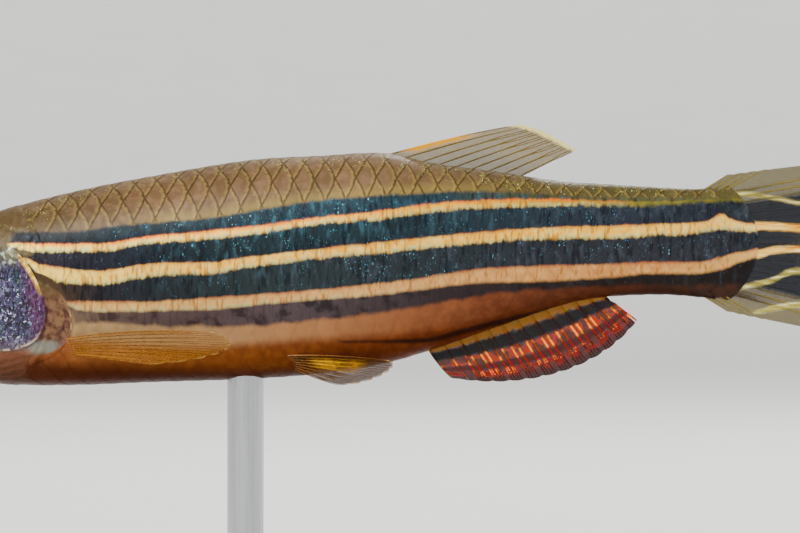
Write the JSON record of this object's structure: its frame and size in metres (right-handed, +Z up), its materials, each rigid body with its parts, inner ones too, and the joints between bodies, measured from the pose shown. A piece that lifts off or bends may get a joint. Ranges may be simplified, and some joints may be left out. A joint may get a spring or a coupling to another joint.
{
  "type": "zebra danio fish model on a display stand",
  "caption": "Life-size zebra danio in a level swimming pose, with striped flanks, fins laid back and a forked tail, held by a rod over a flat base.",
  "frame": {"origin": "centre of the display base's underside", "axes": "+X from snout to tail, +Y towards the fish's right side, +Z up"},
  "size_m": [0.0477, 0.022, 0.0262],
  "materials": {
    "skin": "wet, softly shining skin under thin scales",
    "gill_cover": "silvery, with a purple cast",
    "eye": "clear gloss over a dark pupil and a gold ring",
    "membrane": "thin, translucent, with ridged rays",
    "base": "satin black",
    "rod": "brushed"
  },
  "bodies": {
    "root": {"head": "skin", "lower_jaw": "skin", "trunk": "skin", "tail_stem": "skin", "gill_cover_left": "gill_cover", "gill_cover_right": "gill_cover", "eye_left": "eye", "eye_right": "eye", "pectoral_fin_left": "membrane", "pectoral_fin_right": "membrane", "pelvic_fin_left": "membrane", "pelvic_fin_right": "membrane", "dorsal_fin": "membrane", "anal_fin": "membrane", "caudal_fin_upper": "membrane", "caudal_fin_lower": "membrane", "stand_base": "base", "stand_rod": "rod"}
  },
  "joints": []
}
